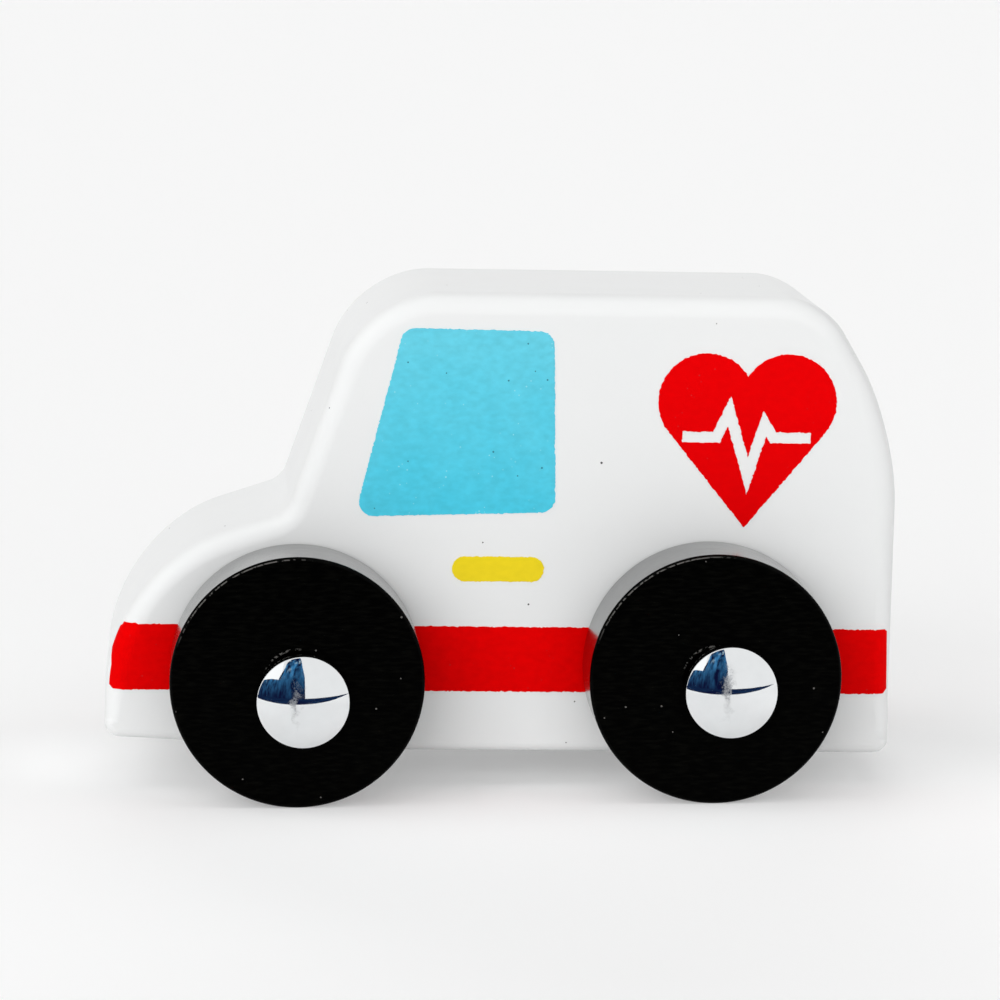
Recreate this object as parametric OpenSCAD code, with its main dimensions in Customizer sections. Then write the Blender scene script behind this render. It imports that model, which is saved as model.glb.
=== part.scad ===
// Push-along wooden ambulance: a rounded block on two steel axles, with loose disc wheels
// that domed push-on caps hold in place, and with pictures printed on both sides.
// Millimetres. The nose points to -X, the roof to +Z, and -Y is the left side.
// The origin lies on the floor, under the middle of the toy.

/* [Body block] */
// Length of the block from nose to tail
body_l = 79; // [72:0.2:88]
// Width of the block
body_w = 26; // [22:0.5:32]
// Height of the block from its underside to its roof
body_h = 46.2; // [42:0.1:52]
// Height of the wheels' centres above the underside, at the middle of the toy
hub_h = 8.95; // [7.5:0.05:10]
// Pitch of the block on its axles, nose up, in degrees
body_pitch = 0.9; // [-1.5:0.1:1.5]
// Rise of the underside towards the nose
nose_lift = 1.25; // [0.4:0.05:2]
// Length of that rise, measured from the nose
nose_lift_l = 25.6; // [18:0.2:32]
// Height above the underside at which the bonnet line meets the nose
nose_h = 18.1; // [15:0.1:20]
// Slope of the bonnet, in degrees
bonnet_slope = 18.6; // [12:0.2:26]
// Length of the bonnet, from the nose to the foot of the windscreen
bonnet_l = 17.8; // [14:0.2:21]
// Lean of the windscreen from upright, in degrees
windscreen_lean = 18.9; // [10:0.1:24]
// Height of the rear shoulder, from its foot on the tail to the roof
shoulder_h = 13.3; // [10:0.1:17]
// Slope of the rear shoulder, in degrees
shoulder_slope = 59.4; // [50:0.2:70]

/* [Body roundings] */
// Radius from the nose into the bonnet
nose_r = 16.6; // [10:0.2:20]
// Hollow radius between the bonnet and the windscreen
foot_r = 2.5; // [1:0.1:5]
// Radius from the windscreen into the roof
brow_r = 10.4; // [5:0.2:13]
// Radius from the roof into the rear shoulder
roof_r = 8.9; // [6:0.1:13]
// Radius from the rear shoulder into the tail
tail_r = 27; // [12:1:32]
// Radius of the two lower corners, at the nose and at the tail
sill_r = 1.5; // [1:0.1:3]
// Radius where the underside starts to rise
lift_r = 30; // [10:1:60]
// Round-over of the side edges
edge_r = 2.2; // [1.2:0.1:3]
// Round-over of the side edges along the underside
under_edge_r = 1; // [0.5:0.1:1.4]
// Height over which the lower round-over grows to the full one
edge_blend_h = 5.5; // [4:0.5:14]

/* [Wheels and axles] */
// Distance between the front and the rear wheel centres
wheelbase = 41.2; // [36:0.2:46]
// Diameter of a wheel
wheel_d = 25; // [21:0.5:28]
// Thickness of a wheel
wheel_t = 8.2; // [6:0.2:11]
// Rounding of the wheel's outer edge
wheel_edge_r = 0.4; // [0.3:0.1:1.5]
// Rounding of the wheel's inner edge
wheel_back_edge_r = 0.4; // [0.2:0.1:1.2]
// Diameter of the loose bore in a wheel
wheel_bore_d = 6.4; // [5.4:0.1:7.4]
// Diameter of the steel axles
axle_d = 3; // [2.4:0.1:3.6]
// Chamfer on the ends of the axles
axle_chamfer = 0.3; // [0.1:0.1:0.6]
// Place of the front axle in its wheel bores, in degrees from straight down to the tail
front_axle_lie = 18; // [-60:1:60]
// Place of the rear axle in its wheel bores, in degrees from straight down to the tail
rear_axle_lie = 54; // [-60:1:60]
// Running clearance around an axle in the block
axle_clear = 0.1; // [0.05:0.01:0.2]
// Clearance between an axle and the side of the wheel bore that it lies against
lie_clear = 0.05; // [0.03:0.01:0.2]
// Side play between a wheel and the block
wheel_gap = 0.4; // [0.3:0.05:0.8]

/* [Axle caps and push nuts] */
// Outer diameter of a cap
cap_d = 9.1; // [8:0.1:11]
// Radius of the cap's dome
cap_dome_r = 7.4; // [5.6:0.1:12]
// Height of the cap's straight skirt
cap_skirt_h = 1.1; // [0.9:0.1:1.6]
// Radius between the dome and the skirt
cap_rim_r = 0.6; // [0.5:0.05:1]
// Wall of the cap
cap_wall = 0.4; // [0.3:0.05:0.5]
// Diameter of the mouth in the cap's turned-in lip
cap_mouth_d = 5.4; // [4.6:0.1:6.2]
// Side play between a cap and its wheel
cap_gap = 0.3; // [0.2:0.05:0.6]
// Length of axle inside the cap
axle_reach = 1.7; // [1.4:0.1:2]
// Thickness of the push nut's spring sheet
nut_t = 0.3; // [0.2:0.05:0.4]
// Width of the push nut's flat ring
nut_ring_w = 1.4; // [1:0.1:1.8]
// Rise of the push nut's tongues towards the axle
nut_rise = 0.5; // [0.3:0.05:0.6]
// Number of tongues
nut_tongues = 6; // [4:1:8]
// Width of the slots between the tongues
nut_slot_w = 0.5; // [0.3:0.05:0.8]
// Clearance of the push nut in the cap, and of its tongues on the axle
nut_clear = 0.03; // [0.02:0.01:0.08]

/* [Side prints] */
// Thickness of the ink
ink_t = 0.12; // [0.06:0.02:0.2]
// Distance of the window's upper front corner below the roof
window_drop = 3.45; // [3:0.05:6]
// Fall of the window's upper edge towards the tail
window_fall = 0.2; // [-0.5:0.05:0.5]
// Height of the window's lower front corner above the underside
window_sill_h = 23.85; // [22:0.05:28]
// Rise of the window's lower edge towards the tail
window_rise = 0.6; // [-1:0.05:1]
// Distance of the window's lower rear corner from the nose
window_setback = 44.55; // [41:0.05:48]
// Forward lean of the window's rear edge over its height
window_lean = 0.5; // [-1:0.05:1]
// Length of the window along its lower edge
window_l = 20; // [15:0.1:22]
// Length of the window along its upper edge
window_top_l = 14.9; // [11:0.1:17]
// Corner radius of the window
window_r = 1.45; // [0.5:0.05:2.5]
// Length of the door handle
handle_l = 9.2; // [6:0.1:12]
// Height of the door handle
handle_h = 2.5; // [1.6:0.1:3.2]
// Distance of the door handle's middle from the nose
handle_setback = 38.95; // [36:0.05:42]
// Height of the door handle's middle above the underside
handle_z = 18.65; // [16.5:0.05:20]
// Height of the stripe's lower edge above the underside
stripe_z = 6.2; // [4:0.05:8]
// Height of the stripe
stripe_h = 6.6; // [4:0.1:8]
// Depth to which the ends of the stripe follow the rounded edges
stripe_wrap = 0.94; // [0.2:0.02:1.2]
// Width of the heart
heart_w = 17.9; // [13:0.1:20]
// Height of the heart
heart_h = 17.5; // [13:0.1:19]
// Distance of the heart's middle from the tail
heart_setback = 15.5; // [14:0.1:18]
// Distance of the heart's middle below the roof
heart_drop = 14.35; // [13:0.05:17]
// Width of the pulse line left bare in the heart
pulse_w = 1.1; // [0.6:0.1:1.6]

/* [Hidden] */

$fn = 96;
// How far a cut runs past the face that it opens
overrun = 1;
// Angle between the points of a rounding
arc_step = 7.5;
// Longest stretch between the points of a straight edge
straight_step = 6;
// Number of bands in the round-over of an edge
edge_bands = 6;
// Part of an edge that its two roundings may take up together
rounding_share = 0.98;
// Part of a corner's radius that a round-over may take up
round_over_share = 0.9;
// Radius of a heart's lobe, as a share of its width
lobe_share = 0.27;
// Points of the pulse line, as shares of the heart's width and height
pulse_shares = [[-0.36, 0.02], [-0.17, 0.02], [-0.1, 0.17], [0.01, -0.2], [0.1, 0.1], [0.15, 0.02], [0.36, 0.02]];

FRONT = -1;
REAR = 1;
LEFT = -1;
RIGHT = 1;

wood_white = "whitesmoke";
lacquer_black = [0.06, 0.06, 0.06];
steel = "silver";
chrome = "gainsboro";
print_red = [0.86, 0.04, 0.03];
print_blue = [0.33, 0.8, 0.89];
print_yellow = [0.9, 0.81, 0.2];

nose_x = -body_l / 2;
tail_x = body_l / 2;
wheel_r = wheel_d / 2;
under_z = wheel_r - hub_h;
roof_z = under_z + body_h;
side_y = body_w / 2;

wheel_bore_r = wheel_bore_d / 2;
axle_r = axle_d / 2;
// Distance from a wheel's centre to the axle that lies in its bore
axle_offset = wheel_bore_r - axle_r - lie_clear;
// Distances from the middle of the toy to the back and the face of a wheel and the foot of a cap
wheel_back_y = side_y + wheel_gap;
wheel_face_y = wheel_back_y + wheel_t;
cap_foot_y = wheel_face_y + cap_gap;
axle_l = 2 * (cap_foot_y + axle_reach);

// Places

function axle_lie(end) = end == FRONT ? front_axle_lie : rear_axle_lie;
function wheel_x(end) = end * wheelbase / 2;
function axle_x(end) = wheel_x(end) + axle_offset * sin(axle_lie(end));
function axle_z(end) = wheel_r - axle_offset * cos(axle_lie(end));

// Pitches what belongs to the block, about the middle of the wheelbase at the wheels' height
module pitched() {
    translate([0, 0, wheel_r]) rotate([0, body_pitch, 0]) translate([0, 0, -wheel_r]) children();
}

// Stands its children, drawn along +Z, outwards on one side at a distance from the middle
module outwards(side, x, y, z) {
    translate([x, side * y, z]) rotate([-side * 90, 0, 0]) children();
}

// Plane outlines

function unit(v) = v / norm(v);
function left_of(v) = [-v.y, v.x];
function polar(r, a) = [r * cos(a), r * sin(a)];
function half_turn(a) = a > 180 ? a - 360 : a <= -180 ? a + 360 : a;

// A corner is [point, radius]. The corners of an outline run clockwise.
function corner(list, i) = list[(i + len(list)) % len(list)];
function run(list, i) = corner(list, i + 1)[0] - corner(list, i)[0];
function edge_angle(list, i) = let(out = left_of(run(list, i))) atan2(out.y, out.x);
function turn(list, i) = half_turn(edge_angle(list, i) - edge_angle(list, i - 1));
function tangent_l(list, i) = corner(list, i)[1] * tan(abs(turn(list, i)) / 2);
// Share of its radius that a corner keeps, so that the roundings fit on the edges between them
function kept_share(list, i) = let(own = tangent_l(list, i))
    min(1,
        rounding_share * norm(run(list, i - 1)) / (own + tangent_l(list, i - 1)),
        rounding_share * norm(run(list, i)) / (own + tangent_l(list, i + 1)));

// Points round one corner, each as [point, outward direction, radius]
function corner_points(list, i) =
    let(r = corner(list, i)[1] * kept_share(list, i),
        start = edge_angle(list, i - 1),
        bend = turn(list, i),
        bulge = bend < 0 ? 1 : -1,
        first = corner(list, i)[0] - unit(run(list, i - 1)) * r * tan(abs(bend) / 2),
        centre = first - bulge * polar(r, start),
        steps = ceil(abs(bend) / arc_step))
    [for (k = [0 : steps]) let(out = polar(1, start + bend * k / steps))
        [centre + bulge * r * out, out, r]];

// Radius given to the points of a straight edge, where no corner limits the round-over
straight_r = edge_r / round_over_share;

// Points between the roundings of one edge, in the same form
function edge_points(list, i) =
    let(from = corner_points(list, i),
        to = corner_points(list, i + 1),
        a = from[len(from) - 1],
        b = to[0],
        steps = ceil(norm(b[0] - a[0]) / straight_step))
    [for (k = [1 : 1 : steps - 1]) [a[0] + (b[0] - a[0]) * k / steps, a[1], straight_r]];

function rounded(list) = [for (i = [0 : len(list) - 1])
    each concat(corner_points(list, i), edge_points(list, i))];

module rounded_shape(list) {
    polygon([for (p = rounded(list)) p[0]]);
}

// Points of an arc from one angle to another
function arc(centre, r, from, to) =
    let(steps = ceil(abs(to - from) / arc_step))
    [for (k = [0 : steps]) centre + polar(r, from + (to - from) * k / steps)];

// A line of even width through the given points
function line_out(points, i) =
    let(last = len(points) - 1,
        before = left_of(unit(points[max(i, 1)] - points[max(i, 1) - 1])),
        after = left_of(unit(points[min(i, last - 1) + 1] - points[min(i, last - 1)])))
    (before + after) / (1 + before * after);
module line(points, width) {
    ends = [for (i = [0 : len(points) - 1]) line_out(points, i) * width / 2];
    polygon(concat(points + ends, [for (i = [len(points) - 1 : -1 : 0]) points[i] - ends[i]]));
}

// Body block

windscreen_foot = [nose_x + bonnet_l, under_z + nose_h + bonnet_l * tan(bonnet_slope)];
brow_x = windscreen_foot.x + (roof_z - windscreen_foot.y) * tan(windscreen_lean);
shoulder_x = tail_x - shoulder_h / tan(shoulder_slope);

side_corners = [
    [[nose_x + nose_lift_l, under_z], lift_r],
    [[nose_x, under_z + nose_lift], sill_r],
    [[nose_x, under_z + nose_h], nose_r],
    [windscreen_foot, foot_r],
    [[brow_x, roof_z], brow_r],
    [[shoulder_x, roof_z], roof_r],
    [[tail_x, roof_z - shoulder_h], tail_r],
    [[tail_x, under_z], sill_r]
];
side_outline = rounded(side_corners);

function eased(t) = let(u = max(0, min(1, t))) u * u * (3 - 2 * u);
// Round-over of the side edge at one point of the outline
function round_over(p) =
    min(under_edge_r + (edge_r - under_edge_r) * eased((p[0].y - under_z) / edge_blend_h),
        round_over_share * p[2]);

// One ring of the block, at an angle of the round-over, with the whole form grown evenly
function body_ring(side, angle, grow) = [for (p = side_outline)
    let(r = round_over(p) + grow,
        inset = r * (1 - cos(angle)) - grow,
        place = p[0] - p[1] * inset)
    [place.x, side * (side_y + grow - r * (1 - sin(angle))), place.y]];

// The block as a loft of rings from the left face to the right face
module body_form(grow) {
    count = len(side_outline);
    angles = [for (k = [0 : edge_bands]) 90 * k / edge_bands];
    rings = concat(
        [for (k = [edge_bands : -1 : 0]) body_ring(LEFT, angles[k], grow)],
        [for (k = [0 : edge_bands]) body_ring(RIGHT, angles[k], grow)]);
    hub = [windscreen_foot.x + edge_r, (under_z + windscreen_foot.y) / 2];
    hubs = [for (side = [LEFT, RIGHT]) [hub.x, side * (side_y + grow), hub.y]];
    left_hub = len(rings) * count;
    last_ring = left_hub - count;
    bands = [for (j = [0 : len(rings) - 2], i = [0 : count - 1])
        let(a = j * count + i,
            b = j * count + (i + 1) % count)
        each [[a, a + count, b + count], [a, b + count, b]]];
    faces = [for (i = [0 : count - 1]) let(next = (i + 1) % count)
        each [[left_hub, i, next], [left_hub + 1, last_ring + next, last_ring + i]]];
    polyhedron(concat([for (ring = rings) each ring], hubs), concat(bands, faces));
}

module axle_bore(end) {
    length = body_w + 2 * overrun;
    translate([axle_x(end), length / 2, axle_z(end)]) rotate([90, 0, 0])
        cylinder(r = axle_r + axle_clear, h = length);
}

module body_block() {
    color(wood_white) difference() {
        pitched() body_form(0);
        axle_bore(FRONT);
        axle_bore(REAR);
    }
}

// Axles and wheels

module axle(end) {
    half = axle_l / 2;
    color(steel) translate([axle_x(end), 0, axle_z(end)]) rotate([90, 0, 0])
        rotate_extrude() polygon([
            [0, -half], [axle_r - axle_chamfer, -half], [axle_r, axle_chamfer - half],
            [axle_r, half - axle_chamfer], [axle_r - axle_chamfer, half], [0, half]
        ]);
}

module wheel(end, side) {
    face_arc = arc([wheel_r - wheel_edge_r, wheel_t - wheel_edge_r], wheel_edge_r, 0, 90);
    back_arc = arc([wheel_r - wheel_back_edge_r, wheel_back_edge_r], wheel_back_edge_r, -90, 0);
    color(lacquer_black) outwards(side, wheel_x(end), wheel_back_y, wheel_r)
        rotate_extrude() polygon(concat(
            [[wheel_bore_r, 0]], back_arc, face_arc, [[wheel_bore_r, wheel_t]]));
}

// Caps and push nuts

cap_r = cap_d / 2;
dome_end_r = (cap_r - cap_rim_r) / (1 - cap_rim_r / cap_dome_r);
dome_end_a = acos(dome_end_r / cap_dome_r);
dome_centre = [0, cap_skirt_h - (cap_dome_r - cap_rim_r) * sin(dome_end_a)];
rim_centre = [cap_r - cap_rim_r, cap_skirt_h];
nut_r = cap_r - cap_wall - nut_clear;

module cap(end, side) {
    inner_r = cap_dome_r - cap_wall;
    mouth_r = cap_mouth_d / 2;
    color(chrome) outwards(side, axle_x(end), cap_foot_y, axle_z(end))
        rotate_extrude() polygon(concat(
            arc(dome_centre, cap_dome_r, 90, dome_end_a),
            arc(rim_centre, cap_rim_r, dome_end_a, 0),
            [[cap_r, 0], [mouth_r, 0], [mouth_r, cap_wall], [cap_r - cap_wall, cap_wall]],
            arc(rim_centre, cap_rim_r - cap_wall, 0, dome_end_a),
            arc(dome_centre, inner_r, dome_end_a, 90)));
}

module push_nut(end, side) {
    ring_r = nut_r - nut_ring_w;
    tip_r = axle_r + nut_clear;
    color(steel) outwards(side, axle_x(end), cap_foot_y + cap_wall, axle_z(end)) difference() {
        rotate_extrude() polygon([
            [nut_r, 0], [nut_r, nut_t], [ring_r, nut_t],
            [tip_r, nut_t + nut_rise], [tip_r, nut_rise], [ring_r, 0]
        ]);
        for (i = [0 : nut_tongues - 1]) rotate([0, 0, i * 360 / nut_tongues])
            translate([0, -nut_slot_w / 2, -overrun])
                cube([ring_r, nut_slot_w, nut_t + nut_rise + 2 * overrun]);
    }
}

// Side prints

// A flat layer of ink on one side of the block
module print_on(side) {
    pitched() translate([0, side < 0 ? -side_y : side_y + ink_t, 0]) rotate([90, 0, 0])
        linear_extrude(ink_t) children();
}

module window(side) {
    rear_x = nose_x + window_setback;
    sill_z = under_z + window_sill_h;
    top_z = roof_z - window_drop;
    color(print_blue) print_on(side) rounded_shape([
        [[rear_x, sill_z + window_rise], window_r],
        [[rear_x - window_l, sill_z], window_r],
        [[rear_x - window_lean - window_top_l, top_z], window_r],
        [[rear_x - window_lean, top_z - window_fall], window_r]
    ]);
}

module door_handle(side) {
    r = handle_h / 2;
    reach = handle_l / 2 - r;
    color(print_yellow) print_on(side) translate([nose_x + handle_setback, under_z + handle_z])
        polygon(concat(arc([reach, 0], r, 90, -90), arc([-reach, 0], r, -90, -270)));
}

// The stripe is the film of ink on the block inside a window that ends on the rounded edges.
// The axles pass through it as they pass through the block.
module stripe(side) {
    depth = ink_t + stripe_wrap;
    near_y = side < 0 ? -side_y - ink_t - overrun : side_y - stripe_wrap;
    color(print_red) difference() {
        pitched() difference() {
            intersection() {
                body_form(ink_t);
                translate([nose_x - overrun, near_y, under_z + stripe_z])
                    cube([body_l + 2 * overrun, depth + overrun, stripe_h]);
            }
            body_form(0);
        }
        axle_bore(FRONT);
        axle_bore(REAR);
    }
}

module heart_shape() {
    r = heart_w * lobe_share;
    centre = [heart_w / 2 - r, heart_h / 2 - r];
    tip = [0, -heart_h / 2];
    to_tip = tip - centre;
    cleft_a = acos(-centre.x / r);
    side_a = atan2(to_tip.y, to_tip.x) + acos(r / norm(to_tip));
    half = arc(centre, r, cleft_a, side_a);
    polygon(concat(half, [tip], [for (k = [len(half) - 1 : -1 : 1]) [-half[k].x, half[k].y]]));
}

module heart(side) {
    pulse = [for (p = pulse_shares) [p.x * heart_w, p.y * heart_h]];
    color(print_red) print_on(side) translate([tail_x - heart_setback, roof_z - heart_drop])
        difference() {
            heart_shape();
            line(pulse, pulse_w);
        }
}

body_block();
axle(FRONT);  // front_axle
axle(REAR);  // rear_axle
wheel(FRONT, LEFT);  // front_left_wheel
wheel(FRONT, RIGHT);  // front_right_wheel
wheel(REAR, LEFT);  // rear_left_wheel
wheel(REAR, RIGHT);  // rear_right_wheel
cap(FRONT, LEFT);  // front_left_cap
cap(FRONT, RIGHT);  // front_right_cap
cap(REAR, LEFT);  // rear_left_cap
cap(REAR, RIGHT);  // rear_right_cap
push_nut(FRONT, LEFT);  // front_left_push_nut
push_nut(FRONT, RIGHT);  // front_right_push_nut
push_nut(REAR, LEFT);  // rear_left_push_nut
push_nut(REAR, RIGHT);  // rear_right_push_nut
window(LEFT);  // left_window
window(RIGHT);  // right_window
door_handle(LEFT);  // left_door_handle
door_handle(RIGHT);  // right_door_handle
stripe(LEFT);  // left_stripe
stripe(RIGHT);  // right_stripe
heart(LEFT);  // left_heart
heart(RIGHT);  // right_heart
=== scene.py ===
"""Dresses a push-along wooden ambulance: a lacquered block, turned wheels, chrome caps and prints.

Every piece is modelled in metres around the loaded construction frame. The nose points to -X, the
roof to +Z, and -Y is the left side, which faces the camera.
"""

import logging
import math
from dataclasses import dataclass
from enum import Enum
from typing import Any, Callable

import bmesh
import bpy
from mathutils import Matrix, Vector


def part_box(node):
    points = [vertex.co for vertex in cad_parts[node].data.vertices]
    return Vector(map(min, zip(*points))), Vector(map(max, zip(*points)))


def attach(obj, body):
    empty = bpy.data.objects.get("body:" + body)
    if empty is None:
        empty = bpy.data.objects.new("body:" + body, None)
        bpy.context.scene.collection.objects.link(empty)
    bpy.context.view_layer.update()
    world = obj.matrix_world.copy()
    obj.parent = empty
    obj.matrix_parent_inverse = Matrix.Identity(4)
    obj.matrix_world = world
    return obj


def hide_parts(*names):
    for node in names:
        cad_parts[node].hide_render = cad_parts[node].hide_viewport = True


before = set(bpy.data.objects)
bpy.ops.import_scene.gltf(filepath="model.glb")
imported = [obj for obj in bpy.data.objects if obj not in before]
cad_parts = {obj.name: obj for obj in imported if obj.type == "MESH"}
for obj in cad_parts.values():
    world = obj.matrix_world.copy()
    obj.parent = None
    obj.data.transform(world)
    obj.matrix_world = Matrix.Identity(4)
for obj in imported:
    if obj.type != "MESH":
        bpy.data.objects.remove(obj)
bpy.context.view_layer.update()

LOG = logging.getLogger("ambulance")
MM = 0.001
# Name of the map that turned pieces carry
DISC = "disc"
# Distance within which two places count as the same, and the one within which points are merged
SAME = 0.002 * MM
MERGED = SAME / 4
# Part of a unit normal along an axis from which a face counts as looking that way
FACING = 0.9
# Profile of a bevel that makes an arc
ROUND = 0.5
# Turn that lays a primitive's own axis across the toy
SIDEWAYS = (math.pi / 2, 0.0, 0.0)
# Directions to the tail, to the right side and to the roof
AFT = Vector((1, 0, 0))
ACROSS = Vector((0, 1, 0))
UP = Vector((0, 0, 1))

Range = tuple[float, float]
Triple = tuple[float, float, float]
Colour = Triple


class End(Enum):
    """The two ends of the toy."""

    FRONT = "front"
    REAR = "rear"

    @property
    def axle(self) -> str:
        """Construction node of this end's axle."""
        return f"{self.value}_axle"


class Side(Enum):
    """The two sides of the toy, with the sign of their Y."""

    LEFT = -1
    RIGHT = 1

    @property
    def word(self) -> str:
        """Name of the side as the node names use it."""
        return self.name.lower()


class Part(Enum):
    """What a pick in edit mode selects."""

    VERT = "VERT"
    EDGE = "EDGE"
    FACE = "FACE"


class Zone(Enum):
    """Where a face of a wheel lies, with the place of its finish among the wheel's materials."""

    FLAT = 0
    TREAD = 1
    EDGE = 2


def middle(node: str) -> Vector:
    """Centre of a construction node's box."""
    low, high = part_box(node)
    return (low + high) / 2


def extent(node: str) -> Vector:
    """Size of a construction node's box along X, Y and Z."""
    low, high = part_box(node)
    return high - low


def levels(node: str) -> Range:
    """Lowest and highest Z of a construction node's box."""
    low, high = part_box(node)
    return low.z, high.z


def rgba(colour: Colour) -> tuple[float, float, float, float]:
    """A colour with full opacity."""
    return (*colour, 1.0)


def in_line(x: float, z: float) -> Callable[[Any], bool]:
    """Test for the points that lie on a line across the toy."""
    return lambda v: abs(v.co.x - x) < SAME and abs(v.co.z - z) < SAME


def take_up(piece: bpy.types.Object) -> None:
    """Makes one object the only selected one and the active one."""
    bpy.ops.object.select_all(action="DESELECT")
    piece.select_set(True)
    bpy.context.view_layer.objects.active = piece


def settle(piece: bpy.types.Object) -> None:
    """Moves an object's place, turn and scale into its mesh."""
    take_up(piece)
    bpy.ops.object.transform_apply(location=True, rotation=True, scale=True)


def primitive(name: str, operator: Callable[..., Any], **settings: Any) -> bpy.types.Object:
    """Adds a primitive, with nothing else selected.

    Args:
        name: Name of the new piece.
        operator: Operator that adds it.
        **settings: Its sizes, place and turn.

    Returns:
        The new object, at the origin.
    """
    bpy.ops.object.select_all(action="DESELECT")
    operator(**settings)
    piece = bpy.context.object
    piece.name = name
    piece.data.name = name
    settle(piece)
    return piece


def copied(source: bpy.types.Object, name: str, move: Matrix | None = None) -> bpy.types.Object:
    """Copies an object with a mesh of its own.

    Args:
        source: The object to copy.
        name: Name of the copy.
        move: Where the copy's mesh is moved to, or None to leave it in place.

    Returns:
        The copy, at the origin and linked to the scene.
    """
    mesh = source.data.copy()
    mesh.name = name
    piece = bpy.data.objects.new(name, mesh)
    bpy.context.scene.collection.objects.link(piece)
    if move is not None:
        piece.matrix_world = move
        settle(piece)
    return piece


def modified(piece: bpy.types.Object, kind: str, **settings: Any) -> None:
    """Adds one modifier to a piece and applies it.

    Args:
        piece: The object to change.
        kind: Blender's name for the modifier.
        **settings: Values to set on it.
    """
    take_up(piece)
    change = piece.modifiers.new(kind.lower(), kind)
    for key, value in settings.items():
        setattr(change, key, value)
    bpy.ops.object.modifier_apply(modifier=change.name)


def disc_mapped(piece: bpy.types.Object, centre: Vector, radius: float) -> None:
    """Gives a turned piece a map of its places across and up from its axis.

    Args:
        piece: The piece.
        centre: Point on its axis.
        radius: Radius that counts as 1.
    """
    layer = piece.data.uv_layers.get(DISC) or piece.data.uv_layers.new(name=DISC)
    for loop in piece.data.loops:
        place = piece.data.vertices[loop.vertex_index].co - centre
        layer.data[loop.index].uv = (place.x / radius, place.z / radius)


def smoothed(piece: bpy.types.Object, sharp_from: float) -> None:
    """Shades a piece smooth, with its flats kept flat.

    Args:
        piece: The object to shade.
        sharp_from: Angle in radians from which an edge stays sharp.
    """
    take_up(piece)
    bpy.ops.object.shade_smooth_by_angle(angle=sharp_from)
    modified(piece, "WEIGHTED_NORMAL", mode="FACE_AREA", keep_sharp=True)


class Bench:
    """Holds one mesh in edit mode, where faces, edges and points are picked by place or normal."""

    def __init__(self, piece: bpy.types.Object) -> None:
        """Takes the object to work on."""
        self.piece = piece

    def __enter__(self) -> "Bench":
        """Enters edit mode with nothing selected.

        Returns:
            This bench.
        """
        take_up(self.piece)
        bpy.ops.object.mode_set(mode="EDIT")
        bpy.ops.mesh.select_all(action="DESELECT")
        return self

    def __exit__(self, *_: Any) -> None:
        """Leaves edit mode."""
        bpy.ops.object.mode_set(mode="OBJECT")

    @property
    def form(self) -> bmesh.types.BMesh:
        """The mesh in edit mode."""
        return bmesh.from_edit_mesh(self.piece.data)

    def pick(self, part: Part, test: Callable[[Any], bool]) -> int:
        """Selects the points, edges or faces that pass a test, and nothing else.

        Args:
            part: What to select.
            test: Called with each one.

        Returns:
            How many were selected.
        """
        bpy.ops.mesh.select_mode(type=part.value)
        bpy.ops.mesh.select_all(action="DESELECT")
        form = self.form
        choices = {Part.VERT: form.verts, Part.EDGE: form.edges, Part.FACE: form.faces}[part]
        chosen = [item for item in choices if test(item)]
        for item in chosen:
            item.select_set(True)
        form.select_flush_mode()
        bmesh.update_edit_mesh(self.piece.data)
        return len(chosen)

    def pick_all(self) -> None:
        """Selects the whole mesh."""
        bpy.ops.mesh.select_mode(type=Part.VERT.value)
        bpy.ops.mesh.select_all(action="SELECT")

    def cut(self, place: Vector, normal: Vector, **clear: bool) -> None:
        """Cuts the whole mesh with a plane.

        Args:
            place: A point of the plane.
            normal: The plane's normal.
            **clear: Which side is taken away, and whether the cut is filled.
        """
        self.pick_all()
        bpy.ops.mesh.bisect(plane_co=place, plane_no=normal, **clear)

    def round_edges(self, width: float, segments: int) -> None:
        """Rounds the selected edges.

        Args:
            width: Distance from the old edge to the new ones.
            segments: Number of faces across the rounding.
        """
        bpy.ops.mesh.bevel(
            offset_type="OFFSET", offset=width, segments=segments, profile=ROUND, affect="EDGES",
            clamp_overlap=False,
        )

    def move(self, by: Vector) -> None:
        """Moves what is selected."""
        bpy.ops.transform.translate(value=by)

    def draw_out(self, by: Vector) -> None:
        """Extrudes what is selected."""
        bpy.ops.mesh.extrude_region_move(TRANSFORM_OT_translate={"value": by})

    def squeeze(self, factors: Vector, about: Vector) -> None:
        """Scales what is selected about a point."""
        bpy.ops.transform.resize(value=factors, center_override=about)

    def join_flats(self, angle: float) -> None:
        """Joins the faces that lie within an angle of one plane."""
        self.pick_all()
        bpy.ops.mesh.dissolve_limited(angle_limit=angle)

    def merge(self) -> None:
        """Merges doubled points."""
        self.pick_all()
        bpy.ops.mesh.remove_doubles(threshold=MERGED)

    def face_out(self) -> None:
        """Merges doubled points and turns every face outwards."""
        self.merge()
        bpy.ops.mesh.normals_make_consistent(inside=False)


@dataclass(frozen=True)
class Clouds:
    """A cloudy pattern: the size of its features, its finer layers, and how far it is drawn out."""

    size: float
    detail: float = 2.0
    stretch: Triple = (1.0, 1.0, 1.0)


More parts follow.
